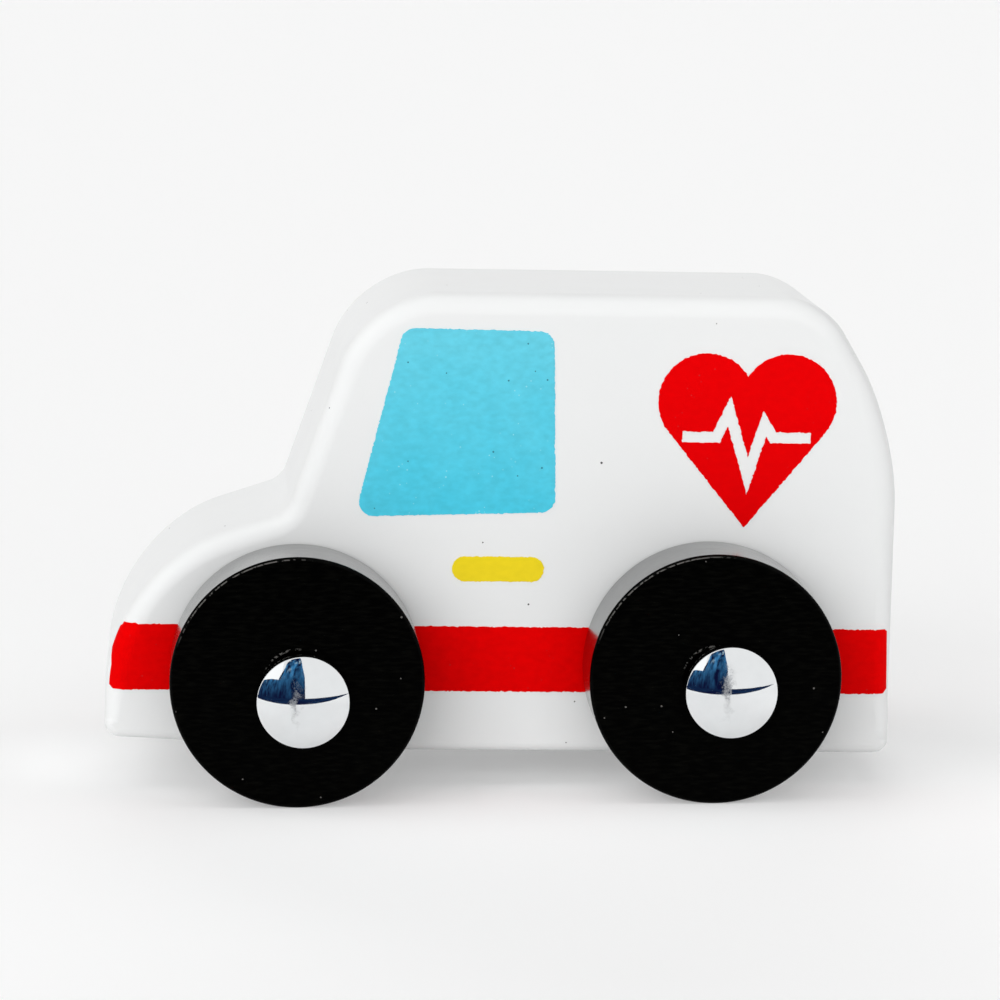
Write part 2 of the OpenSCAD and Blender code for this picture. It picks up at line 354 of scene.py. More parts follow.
class Nodes:
    """A material's node tree, with short calls for the nodes that the finishes share."""

    # Least and largest radius of a speck, as shares of its width
    SPECK_RADIUS_SHARES = (0.35, 0.6)
    # Places of a mix node's two colours and of the colour that it gives
    MIX_FIRST = 6
    MIX_SECOND = 7
    MIX_RESULT = 2

    def __init__(self, name: str) -> None:
        """Starts a new material with one shader.

        Args:
            name: Name of the material.
        """
        self.material = bpy.data.materials.new(name)
        self.material.use_nodes = True
        self.tree = self.material.node_tree
        self.shader = self.tree.nodes["Principled BSDF"]
        self.places = self.tree.nodes.new("ShaderNodeTexCoord").outputs["Object"]

    def add(self, kind: str, settings: dict[str, Any] | None = None, **inputs: Any) -> bpy.types.Node:
        """Adds a node.

        Args:
            kind: Blender's node type, without its ShaderNode prefix.
            settings: Attributes to set on the node.
            **inputs: Values or sockets for its inputs, with _ for a space in a name.

        Returns:
            The node.
        """
        node = self.tree.nodes.new("ShaderNode" + kind)
        for key, value in (settings or {}).items():
            setattr(node, key, value)
        for key, value in inputs.items():
            self.feed(node.inputs[key.replace("_", " ")], value)
        return node

    def feed(self, socket: bpy.types.NodeSocket, value: Any) -> None:
        """Links a socket to an input, or sets the input's value.

        Args:
            socket: The input.
            value: A socket or a plain value.
        """
        if isinstance(value, bpy.types.NodeSocket):
            self.tree.links.new(value, socket)
        else:
            socket.default_value = value

    def set(self, **inputs: Any) -> None:
        """Sets or links inputs of the shader, with _ for a space in a name."""
        for key, value in inputs.items():
            self.feed(self.shader.inputs[key.replace("_", " ")], value)

    def glow(self, base: Any, colour: Any, strength: Any) -> None:
        """Makes a dull surface that shines by itself and isn't sampled as a lamp.

        Args:
            base: Its own colour.
            colour: Colour of its shine.
            strength: Strength of its shine.
        """
        self.set(
            Base_Color=base, Specular_IOR_Level=0.0, Emission_Color=colour, Emission_Strength=strength
        )
        self.material.cycles.emission_sampling = "NONE"

    def math(self, operation: str, first: Any, second: Any = 0.0) -> bpy.types.NodeSocket:
        """Works out a sum.

        Args:
            operation: Blender's name for the sum.
            first: First input.
            second: Second input, where the sum has one.

        Returns:
            The result.
        """
        node = self.add("Math", {"operation": operation})
        self.feed(node.inputs[0], first)
        self.feed(node.inputs[1], second)
        return node.outputs[0]

    def along(self, axis: str) -> bpy.types.NodeSocket:
        """Place along one of the toy's axes."""
        return self.add("SeparateXYZ", Vector=self.places).outputs[axis]

    def disc(self) -> tuple[bpy.types.NodeSocket, bpy.types.NodeSocket]:
        """Places across and up a turned piece, in shares of its radius."""
        parts = self.add("SeparateXYZ", Vector=self.add("UVMap", {"uv_map": DISC}).outputs[0])
        return parts.outputs["X"], parts.outputs["Y"]

    def near(self, spot: Vector, radius: float, outer: float) -> bpy.types.NodeSocket:
        """Makes a round patch about a line across the toy.

        Args:
            spot: A point of the line.
            radius: Radius within which the patch is whole.
            outer: Radius at which it ends.

        Returns:
            1 inside the patch and 0 outside it.
        """
        away = self.places
        for operation, by in (("SUBTRACT", spot), ("MULTIPLY", AFT + UP)):
            node = self.add("VectorMath", {"operation": operation})
            self.feed(node.inputs[0], away)
            self.feed(node.inputs[1], by)
            away = node.outputs["Vector"]
        far = self.add("VectorMath", {"operation": "LENGTH"}, Vector=away).outputs["Value"]
        return self.ramp(far, outer, radius)

    def noise(self, clouds: Clouds) -> bpy.types.NodeSocket:
        """Makes a cloudy pattern.

        Args:
            clouds: The pattern.

        Returns:
            Its value, between 0 and 1.
        """
        scale = tuple(1 / (clouds.size * factor) for factor in clouds.stretch)
        mapped = self.add("Mapping", Vector=self.places, Scale=scale)
        return self.add(
            "TexNoise", Vector=mapped.outputs[0], Scale=1.0, Detail=clouds.detail
        ).outputs["Fac"]

    def specks(self, spacing: float, width: float, share: float,
               flat: bool = False) -> bpy.types.NodeSocket:
        """Makes small round specks.

        Args:
            spacing: Distance between the places where a speck may lie.
            width: Width of a speck.
            share: Share of those places that have one.
            flat: Whether they lie in the plane of the toy's sides, and not all through the space.

        Returns:
            1 inside a speck and 0 outside.
        """
        turned = self.add("Mapping", Vector=self.places, Rotation=SIDEWAYS)
        kind = {"voronoi_dimensions": "2D" if flat else "3D"}
        cells = self.add("TexVoronoi", kind, Vector=turned.outputs[0], Scale=1 / spacing)
        chance = self.add("SeparateColor", Color=cells.outputs["Color"]).outputs
        reach = self.between(chance[1], *(part * width / spacing for part in self.SPECK_RADIUS_SHARES))
        near = self.math("LESS_THAN", cells.outputs["Distance"], reach)
        return self.math("MULTIPLY", near, self.math("LESS_THAN", chance[2], share))

    def between(self, factor: Any, low: float, high: float) -> bpy.types.NodeSocket:
        """Value between two limits, by a factor from 0 to 1."""
        return self.add("MapRange", Value=factor, To_Min=low, To_Max=high).outputs[0]

    def ramp(self, value: Any, start: float, end: float) -> bpy.types.NodeSocket:
        """Factor that goes from 0 to 1 while a value goes from start to end."""
        return self.add("MapRange", Value=value, From_Min=start, From_Max=end).outputs[0]

    def shaded(self, colour: Any, factor: Any) -> bpy.types.NodeSocket:
        """Colour made darker or lighter by a factor."""
        return self.add("VectorMath", {"operation": "SCALE"}, Vector=colour, Scale=factor).outputs[0]

    def blend(self, factor: Any, first: Any, second: Any) -> bpy.types.NodeSocket:
        """Mixes two colours.

        Args:
            factor: Share of the second colour, from 0 to 1.
            first: First colour.
            second: Second colour.

        Returns:
            The mixed colour.
        """
        node = self.add("Mix", {"data_type": "RGBA"})
        self.feed(node.inputs[0], factor)
        self.feed(node.inputs[self.MIX_FIRST], first)
        self.feed(node.inputs[self.MIX_SECOND], second)
        return node.outputs[self.MIX_RESULT]

    def raised(self, height: Any, depth: float) -> bpy.types.NodeSocket:
        """Normal of a surface whose relief follows a pattern to a depth in metres."""
        return self.add("Bump", Height=height, Distance=depth, Strength=1.0).outputs[0]


@dataclass(frozen=True)
class WhiteLacquer:
    """Several coats of gloss white over sanded wood, with a fine orange peel and a few specks."""

    name: str = "white_lacquer"
    colour: Colour = (0.75, 0.755, 0.752)
    cooler: Colour = (0.733, 0.743, 0.743)
    cooler_patches: Clouds = Clouds(18 * MM, 3.0)
    speck: Colour = (0.05, 0.05, 0.055)
    speck_spacing: float = 3.6 * MM
    speck_width: float = 0.22 * MM
    speck_share: float = 0.9
    roughness: Range = (0.32, 0.42)
    rougher_patches: Clouds = Clouds(6 * MM)
    specular: float = 0.3
    coat: float = 0.1
    coat_roughness: float = 0.2
    peel: Clouds = Clouds(1.3 * MM)
    peel_depth: float = 0.004 * MM

    def material(self) -> bpy.types.Material:
        """Mixes the finish.

        Returns:
            The material.
        """
        nodes = Nodes(self.name)
        tone = nodes.blend(nodes.noise(self.cooler_patches), rgba(self.colour), rgba(self.cooler))
        specks = nodes.specks(self.speck_spacing, self.speck_width, self.speck_share)
        nodes.set(
            Base_Color=nodes.blend(specks, tone, rgba(self.speck)),
            Roughness=nodes.between(nodes.noise(self.rougher_patches), *self.roughness),
            Specular_IOR_Level=self.specular,
            Coat_Weight=self.coat,
            Coat_Roughness=self.coat_roughness,
            Normal=nodes.raised(nodes.noise(self.peel), self.peel_depth),
        )
        return nodes.material


@dataclass(frozen=True)
class Flaking:
    """A painted glint: a broken light line round a turned piece, placed in shares of its radius.

    It lies towards one direction only, where the lamp catches the ring, given by its parts to the nose and
    up as the piece stands on the left side.
    """

    radius: float
    half_width: float
    rarity: float
    rarity_fade: float = 0.08
    core_share: float = 0.4
    towards: Range = (0.53, 0.85)
    corner_shares: Range = (0.76, 0.92)
    flakes: Clouds = Clouds(0.35 * MM, 4.0)

    def mask(self, nodes: Nodes) -> bpy.types.NodeSocket:
        """Makes the pattern of the painted glint.

        Args:
            nodes: Material that gets it.

        Returns:
            1 on the painted glint and 0 elsewhere.
        """
        across, up = nodes.disc()
        square = nodes.math("ADD", nodes.math("POWER", across, 2.0), nodes.math("POWER", up, 2.0))
        off = nodes.math("ABSOLUTE", nodes.math("SUBTRACT", nodes.math("SQRT", square), self.radius))
        line = nodes.ramp(off, self.half_width, self.core_share * self.half_width)
        to_nose, upwards = (
            nodes.math("MULTIPLY", place, part) for place, part in zip((across, up), self.towards)
        )
        leant = nodes.math("SUBTRACT", upwards, to_nose)
        corner = nodes.ramp(leant, *(share * self.radius for share in self.corner_shares))
        glint_broken = nodes.ramp(nodes.noise(self.flakes), self.rarity, self.rarity + self.rarity_fade)
        return nodes.math("MULTIPLY", line, nodes.math("MULTIPLY", glint_broken, corner))


@dataclass(frozen=True)
class BlackLacquer:
    """Black lacquer over turned wood, with faint grain and dusty specks, and a painted glint on one side of
    its rings.
    """

    name: str
    specular: float
    roughness: Range
    coat: float = 0.0
    flaking: Flaking | None = None
    flat_dust: bool = False
    colour: Colour = (0.0003, 0.0003, 0.00025)
    grain_colour: Colour = (0.0024, 0.0024, 0.0019)
    grain: Clouds = Clouds(0.3 * MM, 5.0, (5.0, 2.0, 1.0))
    grain_levels: Range = (0.45, 0.8)
    grain_depth: float = 0.003 * MM
    dust: Colour = (0.1, 0.096, 0.09)
    dust_spacing: float = 1.9 * MM
    dust_width: float = 0.17 * MM
    dust_share: float = 0.075
    rougher_streaks: Clouds = Clouds(0.8 * MM, 3.0, (3.0, 1.0, 1.0))
    coat_roughness: float = 0.2

    def material(self) -> bpy.types.Material:
        """Mixes the finish.

        Returns:
            The material.
        """
        nodes = Nodes(self.name)
        grain = nodes.ramp(nodes.noise(self.grain), *self.grain_levels)
        tone = nodes.blend(grain, rgba(self.colour), rgba(self.grain_colour))
        dust_and_glint = nodes.specks(self.dust_spacing, self.dust_width, self.dust_share, self.flat_dust)
        if self.flaking:
            # The painted glint is mixed in with the specks and takes their grey colour
            dust_and_glint = nodes.math("MAXIMUM", dust_and_glint, self.flaking.mask(nodes))
        nodes.set(
            Base_Color=nodes.blend(dust_and_glint, tone, rgba(self.dust)),
            Roughness=nodes.between(nodes.noise(self.rougher_streaks), *self.roughness),
            Specular_IOR_Level=self.specular,
            Coat_Weight=self.coat,
            Coat_Roughness=self.coat_roughness,
            Normal=nodes.raised(grain, self.grain_depth),
        )
        return nodes.material


@dataclass(frozen=True)
class Scuff:
    """A scuffed mark that runs down the middle of a turned piece, placed in shares of its radius."""

    off_middle: float = 0.15
    wander: Range = (-0.3, 0.3)
    wander_pattern: Clouds = Clouds(1.1 * MM)
    half_width: Range = (-0.01, 0.1)
    widening_levels: Range = (-0.6, 0.1)
    softness: float = 0.08
    foot_levels: Range = (-0.7, -0.2)
    head_levels: Range = (0.8, 0.2)
    breaks: Clouds = Clouds(0.2 * MM, 3.0)
    break_levels: Range = (0.15, 0.7)
    shade: float = 0.62
    roughness: float = 0.5

    def mask(self, nodes: Nodes) -> bpy.types.NodeSocket:
        """Makes the pattern of the mark.

        Args:
            nodes: Material that gets it.

        Returns:
            1 inside the mark and 0 outside.
        """
        across, up = nodes.disc()
        wander = nodes.between(nodes.noise(self.wander_pattern), *self.wander)
        line = nodes.math("ABSOLUTE", nodes.math("ADD", nodes.math("ADD", across, self.off_middle), wander))
        half = nodes.between(nodes.ramp(up, *self.widening_levels), *self.half_width)
        inside = nodes.ramp(nodes.math("SUBTRACT", line, half), self.softness, -self.softness)
        ends = nodes.math("MULTIPLY", nodes.ramp(up, *self.foot_levels), nodes.ramp(up, *self.head_levels))
        broken = nodes.ramp(nodes.noise(self.breaks), *self.break_levels)
        return nodes.math("MULTIPLY", nodes.math("MULTIPLY", inside, ends), broken)


@dataclass(frozen=True)
class Metal:
    """Bare or plated metal with a faint unevenness, a smeared shine and, where handled, a scuff."""

    name: str
    colour: Colour
    roughness: Range
    waves: Clouds
    wave_depth: float
    scuff: Scuff | None = None
    smear: Clouds = Clouds(1.2 * MM, 3.0)
    smear_shade: float = 0.93

    def darkened(self, shade: float) -> tuple[float, float, float, float]:
        """The metal's colour at a share of its brightness."""
        return rgba(tuple(c * shade for c in self.colour))

    def material(self) -> bpy.types.Material:
        """Mixes the finish.

        Returns:
            The material.
        """
        nodes = Nodes(self.name)
        smear = nodes.noise(self.smear)
        tone = nodes.blend(smear, rgba(self.colour), self.darkened(self.smear_shade))
        roughness = nodes.between(smear, *self.roughness)
        if self.scuff:
            mark = self.scuff.mask(nodes)
            tone = nodes.blend(mark, tone, self.darkened(self.scuff.shade))
            roughness = nodes.math("MAXIMUM", roughness, nodes.between(mark, 0.0, self.scuff.roughness))
        nodes.set(
            Base_Color=tone,
            Metallic=1.0,
            Roughness=roughness,
            Normal=nodes.raised(nodes.noise(self.waves), self.wave_depth),
        )
        return nodes.material


@dataclass(frozen=True)
class Ink:
    """Screen-printed ink: a thin mottled film with pinholes and specks.

    It is darkened round the axles that it names, as painted shade where the wheels shade it.
    """

    name: str
    # The upper colour is lighter than the lower one: painted light from above
    upper: Colour
    lower: Colour
    pinhole: Colour
    levels: Range
    mottle: float = 0.05
    pinhole_share: float = 0.05
    speck_share: float = 0.0
    rubbed: tuple[str, ...] = ()
    clouds: Clouds = Clouds(5 * MM, 3.0)
    cloud_shift: Range = (-0.35, 0.35)
    mottles: Clouds = Clouds(0.6 * MM, 4.0, (1.6, 1.0, 1.0))
    mottle_levels: Range = (0.3, 0.7)
    pinhole_spacing: float = 0.5 * MM
    pinhole_width: float = 0.14 * MM
    pinhole_patches: Clouds = Clouds(4 * MM)
    pinhole_levels: Range = (0.5, 0.6)
    # Colour and reach of the painted shade round the named axles
    rub: Colour = (0.012, 0.001, 0.001)
    rub_radius: float = 4.2 * MM
    rub_fade: float = 1.1
    speck: Colour = (0.035, 0.19, 0.26)
    speck_spacing: float = 1.7 * MM
    speck_width: float = 0.17 * MM
    roughness: Range = (0.42, 0.55)
    rougher_patches: Clouds = Clouds(0.9 * MM)
    specular: float = 0.02
    weave: Clouds = Clouds(0.3 * MM)
    weave_depth: float = 0.004 * MM

    def material(self) -> bpy.types.Material:
        """Mixes the finish.

        Returns:
            The material.
        """
        nodes = Nodes(self.name)
        # Painted light: the ink goes from the lower colour at the bottom to the lighter upper one at the top
        shift = nodes.between(nodes.noise(self.clouds), *self.cloud_shift)
        rise = nodes.math("ADD", nodes.ramp(nodes.along("Z"), *self.levels), shift)
        tone = nodes.blend(rise, rgba(self.lower), rgba(self.upper))
        mottles = nodes.ramp(nodes.noise(self.mottles), *self.mottle_levels)
        tone = nodes.shaded(tone, nodes.between(mottles, 1 - self.mottle, 1 + self.mottle))
        holes = nodes.specks(self.pinhole_spacing, self.pinhole_width, self.pinhole_share, True)
        patches = nodes.ramp(nodes.noise(self.pinhole_patches), *self.pinhole_levels)
        tone = nodes.blend(nodes.math("MULTIPLY", holes, patches), tone, rgba(self.pinhole))
        # Painted shade: the ink is darkened round each named axle, behind the wheel
        for rod in self.rubbed:
            rub = nodes.near(middle(rod), self.rub_radius, self.rub_fade * self.rub_radius)
            tone = nodes.blend(rub, tone, rgba(self.rub))
        specks = nodes.specks(self.speck_spacing, self.speck_width, self.speck_share, True)
        nodes.set(
            Base_Color=nodes.blend(specks, tone, rgba(self.speck)),
            Roughness=nodes.between(nodes.noise(self.rougher_patches), *self.roughness),
            Specular_IOR_Level=self.specular,
            Normal=nodes.raised(nodes.noise(self.weave), self.weave_depth),
        )
        return nodes.material


@dataclass(frozen=True)
class Corner:
    """One corner of the block's side outline, before it is rounded."""

    x: float
    z: float
    radius: float


@dataclass
class Block:
    """The solid wooden body, with its corners and side edges rounded over."""

    length: float = 79.0 * MM
    height: float = 46.2 * MM
    hub_height: float = 8.95 * MM
    pitch: float = math.radians(0.9)
    nose_lift: float = 1.25 * MM
    nose_lift_length: float = 25.6 * MM
    nose_height: float = 18.1 * MM
    bonnet_slope: float = math.radians(18.6)
    bonnet_length: float = 17.8 * MM
    windscreen_lean: float = math.radians(18.9)
    shoulder_height: float = 13.3 * MM
    shoulder_slope: float = math.radians(59.4)
    nose_radius: float = 16.6 * MM
    foot_radius: float = 2.5 * MM
    brow_radius: float = 10.4 * MM
    roof_radius: float = 7.4 * MM
    tail_radius: float = 27.0 * MM
    sill_radius: float = 1.5 * MM
    lift_radius: float = 30.0 * MM
    edge_radius: float = 2.2 * MM
    under_edge_radius: float = 1.0 * MM
    edge_blend_height: float = 5.5 * MM
    bore_radius: float = 1.6 * MM
    arc_step: float = math.radians(3.0)
    least_arc_steps: int = 2
    edge_segments: int = 10
    blend_steps: int = 7
    bore_sides: int = 64
    drill_widths: float = 1.5
    flat_within: float = math.radians(0.3)
    sharp_from: float = math.radians(75.0)

    def __post_init__(self) -> None:
        """Works out the places that follow from the sizes and the frame."""
        self.half_width = extent("body_block").y / 2
        self.pivot = middle("front_left_wheel").z * UP
        self.nose = -self.length / 2
        self.tail = self.length / 2
        self.under = self.pivot.z - self.hub_height
        self.roof = self.under + self.height
        self.nose_top = self.under + self.nose_height
        self.foot_x = self.nose + self.bonnet_length
        self.foot_z = self.nose_top + self.bonnet_length * math.tan(self.bonnet_slope)
        self.brow_x = self.foot_x + (self.roof - self.foot_z) * math.tan(self.windscreen_lean)
        self.shoulder_x = self.tail - self.shoulder_height / math.tan(self.shoulder_slope)
        self.lift_x = self.nose + self.nose_lift_length
        self.blend_from = self.under + self.nose_lift + self.sill_radius
        self.blend_to = self.under + self.edge_blend_height
        turn = Matrix.Rotation(self.pitch, 4, "Y")
        self.tip = Matrix.Translation(self.pivot) @ turn @ Matrix.Translation(-self.pivot)

    def corners(self) -> list[Corner]:
        """Corners of the side outline, in order round it."""
        return [
            Corner(self.lift_x, self.under, self.lift_radius),
            Corner(self.nose, self.under + self.nose_lift, self.sill_radius),
            Corner(self.nose, self.nose_top, self.nose_radius),
            Corner(self.foot_x, self.foot_z, self.foot_radius),
            Corner(self.brow_x, self.roof, self.brow_radius),
            Corner(self.shoulder_x, self.roof, self.roof_radius),
            Corner(self.tail, self.roof - self.shoulder_height, self.tail_radius),
            Corner(self.tail, self.under, self.sill_radius),
        ]

    def build(self) -> bpy.types.Object:
        """Models the block.

        Returns:
            The block, pitched on its axles and with its two axle bores.
        """
        block = self.rough_out()
        self.round_corners(block)
        self.round_side_edges(block)
        block.matrix_world = self.tip
        settle(block)
        for end in End:
            self.drill(block, middle(end.axle))
        smoothed(block, self.sharp_from)
        return block

    def rough_out(self) -> bpy.types.Object:
        """Saws the block's outline with sharp corners.

        Returns:
            The block, level.
        """
        cab = Vector((self.tail - self.foot_x, 2 * self.half_width, self.height))
        centre = Vector(((self.tail + self.foot_x) / 2, 0.0, (self.roof + self.under) / 2))
        block = primitive(
            "lacquered_block", bpy.ops.mesh.primitive_cube_add, size=1.0, location=centre, scale=cab
        )
        with Bench(block) as bench:
            bench.cut(self.foot_z * UP, UP)
            bench.pick(
                Part.FACE,
                lambda f: f.normal.x < -FACING and f.calc_center_median().z < self.foot_z,
            )
            bench.draw_out(-self.bonnet_length * AFT)
            bench.pick(Part.VERT, in_line(self.nose, self.foot_z))
            bench.move((self.nose_top - self.foot_z) * UP)
            bench.pick(Part.VERT, in_line(self.foot_x, self.roof))
            bench.move((self.brow_x - self.foot_x) * AFT)
            shoulder = Vector((math.sin(self.shoulder_slope), 0, math.cos(self.shoulder_slope)))
            bench.cut(Vector((self.shoulder_x, 0, self.roof)), shoulder, clear_outer=True, use_fill=True)
            bench.join_flats(self.flat_within)
            bench.cut(self.lift_x * AFT, AFT)
            bench.pick(Part.VERT, in_line(self.nose, self.under))
            bench.move(self.nose_lift * UP)
            bench.join_flats(self.flat_within)
            bench.face_out()
        return block

    def round_corners(self, block: bpy.types.Object) -> None:
        """Rounds each corner of the outline to its radius.

        Args:
            block: The block with sharp corners.
        """
        corners = self.corners()
        with Bench(block) as bench:
            for i, corner in enumerate(corners):
                before, after = corners[i - 1], corners[(i + 1) % len(corners)]
                run_in = Vector((corner.x - before.x, corner.z - before.z))
                run_out = Vector((after.x - corner.x, after.z - corner.z))
                turn = run_in.angle(run_out)
                here = in_line(corner.x, corner.z)
                bench.pick(Part.EDGE, lambda e: all(here(v) for v in e.verts))
                steps = max(self.least_arc_steps, math.ceil(turn / self.arc_step))
                bench.round_edges(corner.radius * math.tan(turn / 2), steps)

    def edge_share(self, height: float) -> float:
        """Finds the round-over at a height, which grows smoothly from the underside up.

        Args:
            height: The height, on the level block.

        Returns:
            The round-over as a share of the full one.
        """
        t = min(1.0, max(0.0, (height - self.blend_from) / (self.blend_to - self.blend_from)))
        grown = t * t * (3 - 2 * t)
        radius = self.under_edge_radius + (self.edge_radius - self.under_edge_radius) * grown
        return radius / self.edge_radius

    def round_side_edges(self, block: bpy.types.Object) -> None:
        """Rounds over the edges of both sides, less along the underside than above it.

        Args:
            block: The block with rounded corners.
        """
        step = (self.blend_to - self.blend_from) / self.blend_steps
        with Bench(block) as bench:
            for k in range(1, self.blend_steps + 1):
                bench.cut((self.blend_from + k * step) * UP, UP)
            form = bench.form
            weights = form.edges.layers.float.new("bevel_weight_edge")
            for edge in form.edges:
                first, last = (v.co for v in edge.verts)
                on_side = abs(abs(first.y) - self.half_width) < SAME and abs(first.y - last.y) < SAME
                flats = [abs(f.normal.y) > FACING for f in edge.link_faces]
                if on_side and not all(flats):
                    edge[weights] = self.edge_share((first.z + last.z) / 2)
            bmesh.update_edit_mesh(block.data)
        modified(
            block, "BEVEL", width=self.edge_radius, segments=self.edge_segments, limit_method="WEIGHT",
            offset_type="OFFSET", profile=ROUND, use_clamp_overlap=False,
        )

    def drill(self, block: bpy.types.Object, place: Vector) -> None:
        """Drills one axle bore through the block.

        Args:
            block: The block.
            place: Middle of the axle.
        """
        drill = primitive(
            "drill", bpy.ops.mesh.primitive_cylinder_add, vertices=self.bore_sides,
            radius=self.bore_radius, depth=self.drill_widths * 2 * self.half_width, location=place,
            rotation=SIDEWAYS,
        )
        modified(block, "BOOLEAN", object=drill, operation="DIFFERENCE", solver="EXACT")
        bpy.data.objects.remove(drill)


@dataclass
class Prints:
    """The ink films on both sides: window, door handle, stripe and heart."""

    block: Block
    film: float = 0.05 * MM
    tooth: float = 0.19 * MM
    longest_tooth_share: float = 1.5
    like_longest_share: float = 0.9
    ragged: float = 0.09 * MM
    stripe_rise: float = 6.2 * MM
    stripe_height: float = 6.6 * MM
    stripe_wrap: float = 1.45 * MM
    stripe_cell: float = 4.0 * MM
    stripe_hem: float = 0.5 * MM
    # Cuts that end the stripe, each by a place and the way to what is cut off
    stripe_ends: tuple[tuple[Triple, Triple], ...] = (
        ((-38.31 * MM, 0.0, 16.92 * MM), (-0.977, 0.0, 0.21)),
        ((-39.05 * MM, 0.0, 11.5 * MM), (-0.9945, 0.0, 0.1045)),
        ((-39.05 * MM, 0.0, 0.0), (-1.0, 0.0, 0.0)),
        ((39.02 * MM, 0.0, 0.0), (1.0, 0.0, 0.0)),
    )
    # Cuts that blunt its corners, each by a place along its edge and the signs of the way along and up
    stripe_corners: tuple[Triple, ...] = (
        (-37.55 * MM, -1.0, 1.0),
        (-38.75 * MM, -1.0, -1.0),
        (38.7 * MM, 1.0, 1.0),
        (38.7 * MM, 1.0, -1.0),
    )
    bore_wall_facing: float = 0.3
    on_flat_within: float = 5 * SAME
    sharp_from: float = math.radians(35.0)
    stripe_seed: int = 11
    flat_seed: int = 21
    seeds_per_side: int = 10

    def face(self, side: Side) -> float:
        """Y of the flat of a side."""
        return side.value * self.block.half_width

    def press(self, bench: Bench, side: Side) -> None:
        """Presses what is selected onto the flat of a side."""
        bench.squeeze(AFT + UP, self.face(side) * ACROSS)

    def teeth(self, bench: Bench, test: Callable[[Any], bool], side: Side, seed: int) -> None:
        """Gives the open edges that pass a test the ragged outline of a coarse screen.

        Args:
            bench: The film in edit mode.
            test: Called with each open edge, which lies on the flat of the side.
            side: Side that the film lies on.
            seed: Seed of the unevenness.
        """
        def open_edge(edge: Any) -> bool:
            """Tells whether an edge is to be ragged."""
            return len(edge.link_faces) < 2 and test(edge)

        too_long = self.longest_tooth_share * self.tooth
        while bench.pick(Part.EDGE, lambda e: open_edge(e) and e.calc_length() > too_long):
            longest = max(e.calc_length() for e in bench.form.edges if e.select)
            like_it = self.like_longest_share * longest
            bench.pick(Part.EDGE, lambda e: open_edge(e) and e.calc_length() > like_it)
            bpy.ops.mesh.subdivide(number_cuts=max(1, round(longest / self.tooth) - 1))
        ragged = {v.index for e in bench.form.edges if open_edge(e) for v in e.verts}
        bench.pick(Part.VERT, lambda v: v.index in ragged)
        bpy.ops.transform.vertex_random(
            offset=self.ragged, uniform=0.0, normal=0.0, seed=seed, wait_for_input=False
        )
        self.press(bench, side)

    def flat(self, what: str, side: Side, seed: int) -> bpy.types.Object:
        """Makes a print that lies wholly on the flat of one side.

        Args:
            what: Name of the print.
            side: Side that it lies on.
            seed: Seed of its ragged outline.

        Returns:
            The film of ink.
        """
        node = f"{side.word}_{what}"
        film = copied(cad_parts[node], f"{node}_print")
        thick = extent(node).y
        with Bench(film) as bench:
            bench.merge()
            bench.pick(Part.FACE, lambda f: f.normal.y * side.value < FACING)
            bpy.ops.mesh.delete(type="FACE")
            bench.pick(Part.EDGE, lambda e: not e.is_boundary)
            bpy.ops.mesh.delete(type="EDGE")
            bench.pick(Part.FACE, lambda f: True)
            bpy.ops.mesh.delete(type="ONLY_FACE")
            bench.pick_all()
            bench.move(-side.value * thick * ACROSS)
            self.teeth(bench, lambda e: True, side, seed)
            bench.pick(Part.EDGE, lambda e: True)
            bpy.ops.mesh.fill(use_beauty=True)
            bench.pick(Part.FACE, lambda f: f.normal.y * side.value < 0)
            bpy.ops.mesh.flip_normals()
        return self.finished(film)

    def stripe(self, body: bpy.types.Object, side: Side, seed: int) -> bpy.types.Object:
        """Cuts the stripe from a copy of the block's skin, so that its ends follow the rounded edges.

        The skin is cut into cells, and its two hems into strips, so that each face stays small and the
        ragged outline leaves the faces round the axle bores alone.

        Args:
            body: The finished block.
            side: Side that the stripe lies on.
            seed: Seed of its ragged outline.

        Returns:
            The film of ink.
        """
        skin = copied(body, f"{side.word}_stripe_print")
        take_up(skin)
        bpy.ops.mesh.customdata_custom_splitnormals_clear()
        tip = self.block.tip
        up = (tip.to_3x3() @ UP).normalized()
        low = tip @ ((self.block.under + self.stripe_rise) * UP)
        high = low + up * self.stripe_height
        face = self.face(side)
        wrap = (face - side.value * self.stripe_wrap) * ACROSS
        cells = int(self.block.length / 2 / self.stripe_cell)
        axles = [middle(end.axle) for end in End]

        def in_bore(part: Any) -> bool:
            """Tells whether a face lies inside an axle bore."""
            place = part.calc_center_median()
            return any(Vector((place.x - a.x, place.z - a.z)).length < self.block.bore_radius for a in axles)

        def on_cut(edge: Any) -> bool:
            """Tells whether an edge lies on the stripe's upper or lower line, on the flat."""
            flat = all(abs(v.co.y - face) < self.film for v in edge.verts)
            gaps = [min(abs((v.co - low).dot(up)), abs((v.co - high).dot(up))) for v in edge.verts]
            return flat and max(gaps) < self.ragged

        with Bench(skin) as bench:
            bench.cut(low, up, clear_inner=True)
            bench.cut(high, up, clear_outer=True)
            bench.cut(wrap, side.value * ACROSS, clear_inner=True)
            for place, outwards in self.stripe_ends:
                bench.cut(Vector(place), Vector(outwards), clear_outer=True)
            for x, along, upwards in self.stripe_corners:
                corner = (tip @ (x * AFT) - tip @ Vector()) + (high if upwards > 0 else low)
                bench.cut(corner, along * AFT + upwards * UP, clear_outer=True)
            for step in range(-cells, cells + 1):
                bench.cut(step * self.stripe_cell * AFT, AFT)
            for level in (low + self.stripe_hem * up, high - self.stripe_hem * up):
                bench.cut(level, up)
            bench.pick(Part.FACE, lambda f: abs(f.normal.y) < self.bore_wall_facing and in_bore(f))
            bpy.ops.mesh.delete(type="FACE")
            self.teeth(bench, on_cut, side, seed)
            bench.pick(Part.VERT, lambda v: abs(v.co.y - face) < self.on_flat_within)
            self.press(bench, side)
        return self.finished(skin)

